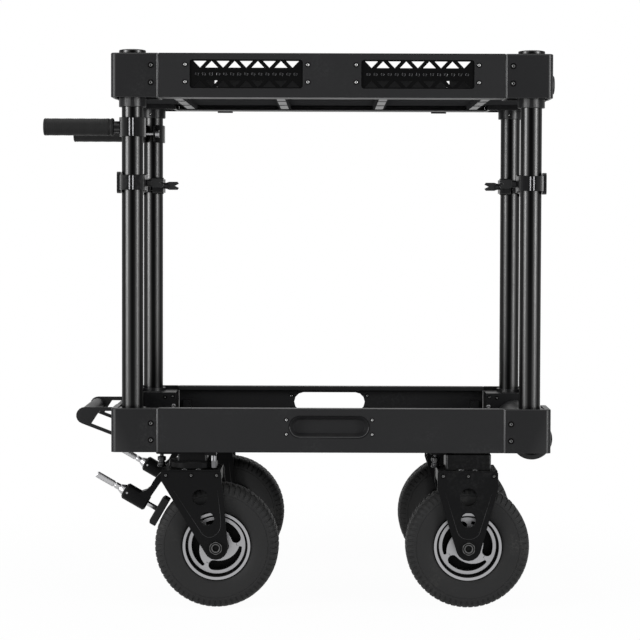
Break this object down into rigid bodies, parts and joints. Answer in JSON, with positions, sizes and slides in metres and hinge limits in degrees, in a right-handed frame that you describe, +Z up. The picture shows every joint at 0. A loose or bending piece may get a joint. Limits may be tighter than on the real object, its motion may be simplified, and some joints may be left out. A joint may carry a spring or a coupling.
{
  "type": "cart workstation",
  "caption": "Two-shelf rolling equipment cart with round posts, clamp collars, push handles, a loading roller and large casters, one end swivelling with screw brakes.",
  "frame": {"origin": "middle of the overall box in X and Y, on the floor under the tyres", "axes": "+Z up, X along the shelves with the push handles at -X and the loading roller at +X, -Y the front"},
  "size_m": [1.0316, 0.56, 1.1213],
  "materials": {
    "steel_black": "black powder coat, satin",
    "cast_black": "cast, black coated",
    "collar_black": "black anodised",
    "plate_grey": "dark grey sheet",
    "rim_silver": "machined",
    "steel_bright": "bright zinc",
    "chrome": "polished",
    "tyre": "black rubber",
    "grip_rubber": "matt",
    "plastic_black": "moulded"
  },
  "bodies": {
    "cart": {"bottom_front_rail": "steel_black", "bottom_back_rail": "steel_black", "bottom_pan": "steel_black", "top_front_rail": "steel_black", "top_back_rail": "steel_black", "top_back_gate": "steel_black", "top_pan": "plate_grey", "top_truss_plate": "steel_black", "lift_handle": "steel_black", "bottom_corner_left_front": "cast_black", "top_corner_left_front": "cast_black", "post_left_front": "steel_black", "caster_head_left_front": "steel_black", "bottom_corner_left_back": "cast_black", "top_corner_left_back": "cast_black", "post_left_back": "steel_black", "caster_head_left_back": "steel_black", "bottom_corner_right_front": "cast_black", "top_corner_right_front": "cast_black", "post_right_front": "steel_black", "caster_head_right_front": "steel_black", "caster_fork_right_front": "steel_black", "bottom_corner_right_back": "cast_black", "top_corner_right_back": "cast_black", "post_right_back": "steel_black", "caster_head_right_back": "steel_black", "caster_fork_right_back": "steel_black"},
    "loading_roller": {"loading_roller": "plastic_black"},
    "swivel_left_front": {"caster_fork_left_front": "steel_black"},
    "wheel_left_front": {"tyre_left_front": "tyre", "rim_left_front": "rim_silver"},
    "brake_pad_left_front": {"brake_pad_left_front": "grip_rubber"},
    "brake_screw_left_front": {"brake_screw_left_front": "steel_bright"},
    "release_plunger_left_front": {"release_plunger_left_front": "chrome"},
    "collar_left_front": {"collar_left_front": "collar_black"},
    "collar_screw_left_front": {"collar_screw_left_front": "plastic_black"},
    "swivel_left_back": {"caster_fork_left_back": "steel_black"},
    "wheel_left_back": {"tyre_left_back": "tyre", "rim_left_back": "rim_silver"},
    "brake_pad_left_back": {"brake_pad_left_back": "grip_rubber"},
    "brake_screw_left_back": {"brake_screw_left_back": "steel_bright"},
    "release_plunger_left_back": {"release_plunger_left_back": "chrome"},
    "collar_left_back": {"collar_left_back": "collar_black"},
    "collar_screw_left_back": {"collar_screw_left_back": "plastic_black"},
    "wheel_right_front": {"tyre_right_front": "tyre", "rim_right_front": "rim_silver"},
    "release_plunger_right_front": {"release_plunger_right_front": "chrome"},
    "collar_right_front": {"collar_right_front": "collar_black"},
    "collar_screw_right_front": {"collar_screw_right_front": "plastic_black"},
    "wheel_right_back": {"tyre_right_back": "tyre", "rim_right_back": "rim_silver"},
    "release_plunger_right_back": {"release_plunger_right_back": "chrome"},
    "collar_right_back": {"collar_right_back": "collar_black"},
    "collar_screw_right_back": {"collar_screw_right_back": "plastic_black"},
    "push_handle_front": {"push_clamp_front": "collar_black", "push_grip_front": "grip_rubber"},
    "push_bolt_front": {"push_bolt_front": "steel_bright"},
    "push_handle_back": {"push_clamp_back": "collar_black", "push_grip_back": "grip_rubber"},
    "push_bolt_back": {"push_bolt_back": "steel_bright"}
  },
  "joints": [
    {"name": "roller_spin", "type": "hinge", "parent": "cart", "child": "loading_roller", "pos_m": [0.4732, 0, 0.334], "axis": [0, 1, 0], "continuous": true},
    {"name": "swivel_turn_left_front", "type": "hinge", "parent": "cart", "child": "swivel_left_front", "pos_m": [-0.2158, -0.22, 0.2807], "axis": [0, 0, 1], "continuous": true},
    {"name": "wheel_spin_left_front", "type": "hinge", "parent": "swivel_left_front", "child": "wheel_left_front", "pos_m": [-0.1673, -0.22, 0.12492], "axis": [0, 1, 0], "continuous": true},
    {"name": "brake_slide_left_front", "type": "slide", "parent": "swivel_left_front", "child": "brake_pad_left_front", "axis": [-0.866, 0, 0.5], "range_m": [0, 0.012]},
    {"name": "brake_turn_left_front", "type": "hinge", "parent": "brake_pad_left_front", "child": "brake_screw_left_front", "pos_m": [-0.35523, -0.22, 0.23342], "axis": [-0.866, 0, 0.5], "range_deg": [0, 1080]},
    {"name": "plunger_pull_left_front", "type": "slide", "parent": "cart", "child": "release_plunger_left_front", "axis": [0, 0, 1], "range_m": [0, 0.005], "stiffness_N_per_m": 600, "springref_m": -0.004},
    {"name": "collar_slide_left_front", "type": "slide", "parent": "cart", "child": "collar_left_front", "axis": [0, 0, 1], "range_m": [-0.4, 0.015]},
    {"name": "collar_screw_turn_left_front", "type": "hinge", "parent": "collar_left_front", "child": "collar_screw_left_front", "pos_m": [-0.3378, -0.196, 0.855], "axis": [1, 0, 0], "continuous": true},
    {"name": "swivel_turn_left_back", "type": "hinge", "parent": "cart", "child": "swivel_left_back", "pos_m": [-0.2158, 0.22, 0.2807], "axis": [0, 0, 1], "continuous": true},
    {"name": "wheel_spin_left_back", "type": "hinge", "parent": "swivel_left_back", "child": "wheel_left_back", "pos_m": [-0.1673, 0.22, 0.12492], "axis": [0, 1, 0], "continuous": true},
    {"name": "brake_slide_left_back", "type": "slide", "parent": "swivel_left_back", "child": "brake_pad_left_back", "axis": [-0.866, 0, 0.5], "range_m": [0, 0.012]},
    {"name": "brake_turn_left_back", "type": "hinge", "parent": "brake_pad_left_back", "child": "brake_screw_left_back", "pos_m": [-0.35523, 0.22, 0.23342], "axis": [-0.866, 0, 0.5], "range_deg": [0, 1080]},
    {"name": "plunger_pull_left_back", "type": "slide", "parent": "cart", "child": "release_plunger_left_back", "axis": [0, 0, 1], "range_m": [0, 0.005], "stiffness_N_per_m": 600, "springref_m": -0.004},
    {"name": "collar_slide_left_back", "type": "slide", "parent": "cart", "child": "collar_left_back", "axis": [0, 0, 1], "range_m": [-0.4, 0.015]},
    {"name": "collar_screw_turn_left_back", "type": "hinge", "parent": "collar_left_back", "child": "collar_screw_left_back", "pos_m": [-0.3378, 0.196, 0.855], "axis": [1, 0, 0], "continuous": true},
    {"name": "wheel_spin_right_front", "type": "hinge", "parent": "cart", "child": "wheel_right_front", "pos_m": [0.3382, -0.22, 0.12492], "axis": [0, 1, 0], "continuous": true},
    {"name": "plunger_pull_right_front", "type": "slide", "parent": "cart", "child": "release_plunger_right_front", "axis": [0, 0, 1], "range_m": [0, 0.005], "stiffness_N_per_m": 600, "springref_m": -0.004},
    {"name": "collar_slide_right_front", "type": "slide", "parent": "cart", "child": "collar_right_front", "axis": [0, 0, 1], "range_m": [-0.4, 0.12]},
    {"name": "collar_screw_turn_right_front", "type": "hinge", "parent": "collar_right_front", "child": "collar_screw_right_front", "pos_m": [0.4622, -0.196, 0.855], "axis": [1, 0, 0], "continuous": true},
    {"name": "wheel_spin_right_back", "type": "hinge", "parent": "cart", "child": "wheel_right_back", "pos_m": [0.3382, 0.22, 0.12492], "axis": [0, 1, 0], "continuous": true},
    {"name": "plunger_pull_right_back", "type": "slide", "parent": "cart", "child": "release_plunger_right_back", "axis": [0, 0, 1], "range_m": [0, 0.005], "stiffness_N_per_m": 600, "springref_m": -0.004},
    {"name": "collar_slide_right_back", "type": "slide", "parent": "cart", "child": "collar_right_back", "axis": [0, 0, 1], "range_m": [-0.4, 0.12]},
    {"name": "collar_screw_turn_right_back", "type": "hinge", "parent": "collar_right_back", "child": "collar_screw_right_back", "pos_m": [0.4622, 0.196, 0.855], "axis": [1, 0, 0], "continuous": true},
    {"name": "push_slide_front", "type": "slide", "parent": "cart", "child": "push_handle_front", "axis": [0, 0, 1], "range_m": [-0.05, 0.015]},
    {"name": "push_bolt_turn_front", "type": "hinge", "parent": "push_handle_front", "child": "push_bolt_front", "pos_m": [-0.3378, -0.1945, 0.966], "axis": [1, 0, 0], "continuous": true},
    {"name": "push_slide_back", "type": "slide", "parent": "cart", "child": "push_handle_back", "axis": [0, 0, 1], "range_m": [-0.05, 0.015]},
    {"name": "push_bolt_turn_back", "type": "hinge", "parent": "push_handle_back", "child": "push_bolt_back", "pos_m": [-0.3378, 0.1945, 0.9705], "axis": [1, 0, 0], "continuous": true}
  ],
  "couplings": [
    {"joint": "brake_turn_left_front", "follows": "brake_slide_left_front", "rad_per_m": 1570.8},
    {"joint": "brake_turn_left_back", "follows": "brake_slide_left_back", "rad_per_m": 1570.8}
  ]
}
